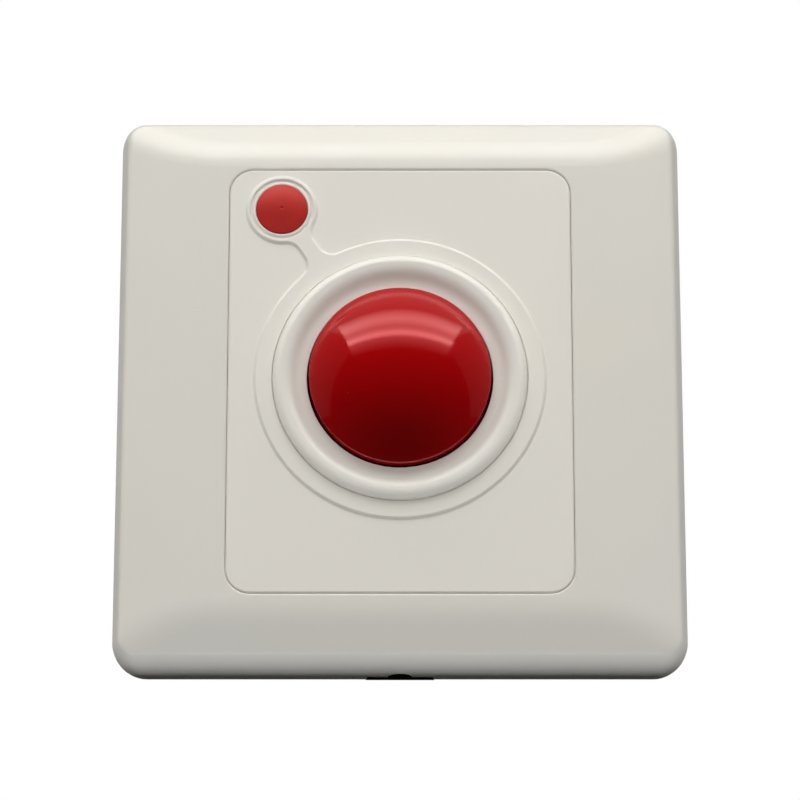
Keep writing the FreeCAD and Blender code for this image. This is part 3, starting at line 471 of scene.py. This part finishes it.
# %% Softened edges group
softened_edges, source, sink = new_group(
    "softened_edges", [("Radius", "NodeSocketFloat", 0.00015)], [("Normal", "NodeSocketVector")])
rounding = add_node(softened_edges, "ShaderNodeBevel", samples=6)
softened_edges.links.new(source.outputs["Radius"], rounding.inputs["Radius"])
softened_edges.links.new(rounding.outputs["Normal"], sink.inputs["Normal"])
print("group:", softened_edges.name)

# %% [markdown]
# ## Shared effect: aged plastic
# White ABS yellows slowly and unevenly. A broad noise mixes the fresh colour with a warmer one, and a
# finer noise adds the faint cloudiness that moulded pigment has.

# %% Aged plastic group
aged_plastic, source, sink = new_group(
    "aged_plastic",
    [("Fresh", "NodeSocketColor", None), ("Aged", "NodeSocketColor", None),
     ("Amount", "NodeSocketFloat", 0.5), ("Cloud Scale", "NodeSocketFloat", 45.0)],
    [("Color", "NodeSocketColor")])
clouds = add_node(aged_plastic, "ShaderNodeTexNoise")
set_inputs(clouds, Detail=4.0, Roughness=0.55)
aged_plastic.links.new(object_place(aged_plastic), clouds.inputs["Vector"])
aged_plastic.links.new(source.outputs["Cloud Scale"], clouds.inputs["Scale"])
share = add_math(aged_plastic, "MULTIPLY", add_range(aged_plastic, clouds.outputs["Fac"], 0.35, 0.75),
                 source.outputs["Amount"])
aged_plastic.links.new(add_mix(aged_plastic, share, source.outputs["Fresh"], source.outputs["Aged"]),
                       sink.inputs["Color"])
print("group:", aged_plastic.name)

# %% [markdown]
# ## Shared effect: dust
# A few specks of dust lie on any moulding that has been handled. Scattered cells of a Voronoi pattern
# give round dots, and a second random number per cell keeps only a few of them.

# %% Dust group
dust_specks, source, sink = new_group(
    "dust_specks",
    [("Color", "NodeSocketColor", None), ("Dust", "NodeSocketColor", (0.25, 0.23, 0.2, 1.0)),
     ("Cells", "NodeSocketFloat", 150.0), ("Size", "NodeSocketFloat", 0.03),
     ("Share", "NodeSocketFloat", 0.06)],
    [("Color", "NodeSocketColor")])
cells = add_node(dust_specks, "ShaderNodeTexVoronoi")
dust_specks.links.new(object_place(dust_specks), cells.inputs["Vector"])
dust_specks.links.new(source.outputs["Cells"], cells.inputs["Scale"])
chance = add_node(dust_specks, "ShaderNodeSeparateColor")
dust_specks.links.new(cells.outputs["Color"], chance.inputs[0])
chosen = add_math(dust_specks, "LESS_THAN", chance.outputs[0], source.outputs["Share"])
spread = add_math(dust_specks, "MULTIPLY", source.outputs["Size"], chance.outputs[1])
dot = add_math(dust_specks, "LESS_THAN", cells.outputs["Distance"], spread)
mask = add_math(dust_specks, "MULTIPLY", chosen, dot)
dust_specks.links.new(add_mix(dust_specks, mask, source.outputs["Color"], source.outputs["Dust"]),
                      sink.inputs["Color"])
print("group:", dust_specks.name)

# %% [markdown]
# ## White mouldings
# The cover, the panel set in it and the base plate are all white ABS. They differ in colour and gloss:
# the cover and the panel are satin and slightly warm, and the base plate is matt. One recipe takes
# those values, so each moulding still has its own material.

# %% White mouldings
def white_moulding(name, fresh, aged, amount, gloss_range, grain, edge_radius, dust_share):
    material, tree, surface = new_material(name)
    tint = use_group(tree, aged_plastic, Fresh=fresh, Aged=aged, Amount=amount)
    dust = use_group(tree, dust_specks, Share=dust_share)
    edges = use_group(tree, softened_edges, Radius=edge_radius)
    skin = use_group(tree, moulded_grain, Grain_Scale=grain[0], Depth=grain[1],
                     Roughness_Low=gloss_range[0], Roughness_High=gloss_range[1])
    tree.links.new(tint.outputs["Color"], dust.inputs["Color"])
    tree.links.new(dust.outputs["Color"], surface.inputs["Base Color"])
    tree.links.new(edges.outputs["Normal"], skin.inputs["Normal"])
    tree.links.new(skin.outputs["Normal"], surface.inputs["Normal"])
    tree.links.new(skin.outputs["Roughness"], surface.inputs["Roughness"])
    surface.inputs["Specular IOR Level"].default_value = 0.4
    return material


cover_plastic = white_moulding("cover_plastic", (0.80, 0.785, 0.735, 1), (0.80, 0.77, 0.69, 1), 0.5,
                               (0.30, 0.38), (2600.0, 0.12), 0.00025, 0.012)
panel_plastic = white_moulding("panel_plastic", (0.85, 0.83, 0.775, 1), (0.85, 0.82, 0.745, 1), 0.4,
                               (0.32, 0.40), (2800.0, 0.12), 0.00018, 0.008)
base_plastic = white_moulding("base_plastic", (0.73, 0.725, 0.69, 1), (0.74, 0.72, 0.62, 1), 0.8,
                              (0.55, 0.65), (2000.0, 0.25), 0.00015, 0.01)

# %% [markdown]
# ## Red button
# The button is glossy and deep red through and through. Its gloss is a clean mould polish, so the grain
# is nearly nothing, with a slow waviness like that of a hand-polished mould. The white dish beside it
# takes only a faint red cast, so rays that carry soft light from the red see it darker.

# %% Red button
RED_CAST = (0.20, 0.006, 0.008, 1)

button_red, tree, surface = new_material("button_red")
tint = use_group(tree, aged_plastic, Fresh=(0.61, 0.002, 0.004, 1), Aged=(0.58, 0.002, 0.004, 1),
                 Amount=0.6, Cloud_Scale=60.0)
dust = use_group(tree, dust_specks, Dust=(0.75, 0.35, 0.33, 1), Cells=260.0, Size=0.05, Share=0.01)
edges = use_group(tree, softened_edges, Radius=0.0003)
skin = use_group(tree, moulded_grain, Grain_Scale=700.0, Depth=0.02,
                 Roughness_Low=0.07, Roughness_High=0.11)
seen_by = add_node(tree, "ShaderNodeLightPath")
red = add_mix(tree, seen_by.outputs["Is Diffuse Ray"], dust.outputs["Color"], RED_CAST)
tree.links.new(tint.outputs["Color"], dust.inputs["Color"])
tree.links.new(red, surface.inputs["Base Color"])
tree.links.new(edges.outputs["Normal"], skin.inputs["Normal"])
tree.links.new(skin.outputs["Normal"], surface.inputs["Normal"])
tree.links.new(skin.outputs["Roughness"], surface.inputs["Roughness"])
surface.inputs["Specular IOR Level"].default_value = 0.45
surface.inputs["Specular Tint"].default_value = (1.0, 0.3, 0.3, 1)

# %% [markdown]
# ## Indicator lens
# The lens is clear red plastic over a dark well, with a finely roughened front so that the light behind
# it spreads. It reads as a flatter, browner red than the button.

# %% Indicator lens
lens_red, tree, surface = new_material("lens_red")
tint = use_group(tree, aged_plastic, Fresh=(0.55, 0.016, 0.012, 1), Aged=(0.46, 0.012, 0.010, 1),
                 Amount=0.8, Cloud_Scale=300.0)
edges = use_group(tree, softened_edges, Radius=0.0002)
skin = use_group(tree, moulded_grain, Grain_Scale=1800.0, Depth=0.25,
                 Roughness_Low=0.30, Roughness_High=0.40)
tree.links.new(tint.outputs["Color"], surface.inputs["Base Color"])
tree.links.new(edges.outputs["Normal"], skin.inputs["Normal"])
tree.links.new(skin.outputs["Normal"], surface.inputs["Normal"])
tree.links.new(skin.outputs["Roughness"], surface.inputs["Roughness"])
surface.inputs["Transmission Weight"].default_value = 0.15
surface.inputs["Specular IOR Level"].default_value = 0.3
surface.inputs["Specular Tint"].default_value = (1.0, 0.6, 0.55, 1)

# %% [markdown]
# ## Finishes inside the plate
# These parts are hidden once the cover is on, but they are real pieces and show when the model is
# opened. Engineering plastics share one recipe with grain, and metals share one with fine brushing.

# %% Inner plastics and metals
def plain_plastic(name, colour, shade, roughness, grain_depth=0.2):
    material, tree, surface = new_material(name)
    tint = use_group(tree, aged_plastic, Fresh=(*colour, 1), Aged=(*shade, 1),
                     Amount=0.7, Cloud_Scale=250.0)
    skin = use_group(tree, moulded_grain, Grain_Scale=3500.0, Depth=grain_depth,
                     Roughness_Low=roughness, Roughness_High=roughness + 0.1)
    edges = use_group(tree, softened_edges, Radius=0.00008)
    tree.links.new(edges.outputs["Normal"], skin.inputs["Normal"])
    tree.links.new(tint.outputs["Color"], surface.inputs["Base Color"])
    tree.links.new(skin.outputs["Normal"], surface.inputs["Normal"])
    tree.links.new(skin.outputs["Roughness"], surface.inputs["Roughness"])
    return material


def drawn_metal(name, colour, shade, roughness):
    material, tree, surface = new_material(name)
    tint = use_group(tree, aged_plastic, Fresh=(*colour, 1), Aged=(*shade, 1),
                     Amount=0.8, Cloud_Scale=400.0)
    skin = use_group(tree, moulded_grain, Grain_Scale=6000.0, Depth=0.1,
                     Roughness_Low=roughness, Roughness_High=roughness + 0.12)
    tree.links.new(tint.outputs["Color"], surface.inputs["Base Color"])
    tree.links.new(skin.outputs["Normal"], surface.inputs["Normal"])
    tree.links.new(skin.outputs["Roughness"], surface.inputs["Roughness"])
    surface.inputs["Metallic"].default_value = 1.0
    return material


inner_finishes = [
    plain_plastic("switch_body", (0.02, 0.02, 0.022), (0.03, 0.03, 0.03), 0.45),
    plain_plastic("switch_plunger", (0.75, 0.75, 0.72), (0.7, 0.69, 0.64), 0.4),
    plain_plastic("led_epoxy", (0.45, 0.03, 0.03), (0.4, 0.02, 0.02), 0.12, 0.03),
    plain_plastic("chip_epoxy", (0.015, 0.015, 0.017), (0.03, 0.03, 0.03), 0.5, 0.4),
    plain_plastic("transistor_epoxy", (0.02, 0.02, 0.02), (0.035, 0.035, 0.035), 0.5, 0.4),
    plain_plastic("capacitor_sleeve", (0.02, 0.03, 0.09), (0.03, 0.04, 0.1), 0.3),
    plain_plastic("resistor_ceramic", (0.03, 0.03, 0.035), (0.06, 0.06, 0.06), 0.35),
    plain_plastic("capacitor_ceramic", (0.42, 0.30, 0.18), (0.36, 0.25, 0.15), 0.45),
    plain_plastic("battery_jacket", (0.05, 0.12, 0.28), (0.04, 0.1, 0.24), 0.25, 0.05),
    drawn_metal("spring_steel", (0.62, 0.61, 0.59), (0.5, 0.49, 0.47), 0.25),
    drawn_metal("tinned_copper", (0.75, 0.74, 0.71), (0.66, 0.65, 0.62), 0.3),
    drawn_metal("can_metal", (0.72, 0.71, 0.68), (0.6, 0.59, 0.56), 0.22),
    drawn_metal("antenna_wire", (0.78, 0.76, 0.72), (0.66, 0.63, 0.58), 0.28),
    drawn_metal("contact_plate", (0.7, 0.68, 0.63), (0.6, 0.58, 0.53), 0.3),
]
print("inner finishes:", len(inner_finishes))

# %% [markdown]
# ## Circuit board
# The board is glass-fibre laminate under green solder mask. Two crossed wave textures give the weave
# that shows faintly through the mask.

# %% Circuit board laminate
board_laminate, tree, surface = new_material("board_laminate")
place = object_place(tree)
weave = []
for direction_name in ("X", "Z"):
    threads = add_node(tree, "ShaderNodeTexWave", bands_direction=direction_name)
    set_inputs(threads, Scale=400.0, Distortion=0.4)
    tree.links.new(place, threads.inputs["Vector"])
    weave.append(threads.outputs["Fac"])
crossing = add_math(tree, "MULTIPLY", weave[0], weave[1])
green = add_mix(tree, crossing, (0.01, 0.12, 0.04, 1), (0.02, 0.19, 0.07, 1))
tree.links.new(green, surface.inputs["Base Color"])
bump = set_inputs(add_node(tree, "ShaderNodeBump"), Strength=0.2, Distance=0.00003)
tree.links.new(crossing, bump.inputs["Height"])
tree.links.new(bump.outputs["Normal"], surface.inputs["Normal"])
surface.inputs["Roughness"].default_value = 0.35

# %% [markdown]
# ## Return spring
# Under the button sits a coil of round steel wire, which lifts the button back after each press. The
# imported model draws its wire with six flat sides. A curve with a bevel could make it round, but the way
# the spring is really wound is closer to a screw: a small circle, the wire's section, is carried round
# the button's axis while it moves along it. The circle starts at the end next to the button.

# %% Return spring
WIRE_RADIUS = 0.45 * MM
COIL_TURNS = 4
STEPS_IN_TURN = 48
coil_low, coil_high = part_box("return_spring")
coil_radius = (coil_high.x - coil_low.x) / 2 - WIRE_RADIUS
first_turn = coil_low.y + WIRE_RADIUS
pitch = (coil_high.y - coil_low.y - 2 * WIRE_RADIUS) / COIL_TURNS

bpy.ops.object.select_all(action="DESELECT")
bpy.ops.mesh.primitive_circle_add(vertices=14, radius=WIRE_RADIUS, location=(coil_radius, first_turn, 0))
coil = bpy.context.active_object
coil.name = "round_wire_spring"
bpy.ops.object.transform_apply(location=True, rotation=True, scale=True)
winding = coil.modifiers.new("winding", "SCREW")
winding.axis = "Y"
winding.iterations = COIL_TURNS
winding.screw_offset = pitch
winding.steps = STEPS_IN_TURN
winding.render_steps = STEPS_IN_TURN
winding.use_smooth_shade = True
bpy.ops.object.modifier_apply(modifier="winding")
bpy.ops.object.mode_set(mode="EDIT")
bpy.ops.mesh.select_all(action="SELECT")
bpy.ops.mesh.fill_holes(sides=0)
bpy.ops.mesh.select_all(action="SELECT")
bpy.ops.mesh.normals_make_consistent(inside=False)
bpy.ops.object.mode_set(mode="OBJECT")
bpy.ops.object.shade_smooth_by_angle(angle=math.radians(40))
print("spring:", len(coil.data.polygons), "faces, mean radius", round(coil_radius / MM, 2), "mm")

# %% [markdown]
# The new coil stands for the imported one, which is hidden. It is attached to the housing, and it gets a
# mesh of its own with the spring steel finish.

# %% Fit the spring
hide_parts("return_spring")
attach(coil, "housing")
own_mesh(coil)
coil.data.materials.append(bpy.data.materials["spring_steel"])

# %% [markdown]
# ## Putting the finishes on the parts
# Each CAD part already carries a material slot with a blank named after its finish. The new materials
# have the same names without that prefix, so every slot is filled by looking its name up.

# %% Assign finishes
outer_finishes = [cover_plastic, panel_plastic, base_plastic, button_red, lens_red, board_laminate]
finishes = {material.name: material for material in outer_finishes + inner_finishes}
for name, part in parts.items():
    for slot in part.material_slots:
        slot.material = finishes[slot.material.name.removeprefix("blank_")]
print("finished parts:", {name: part.material_slots[0].material.name for name, part in parts.items()})
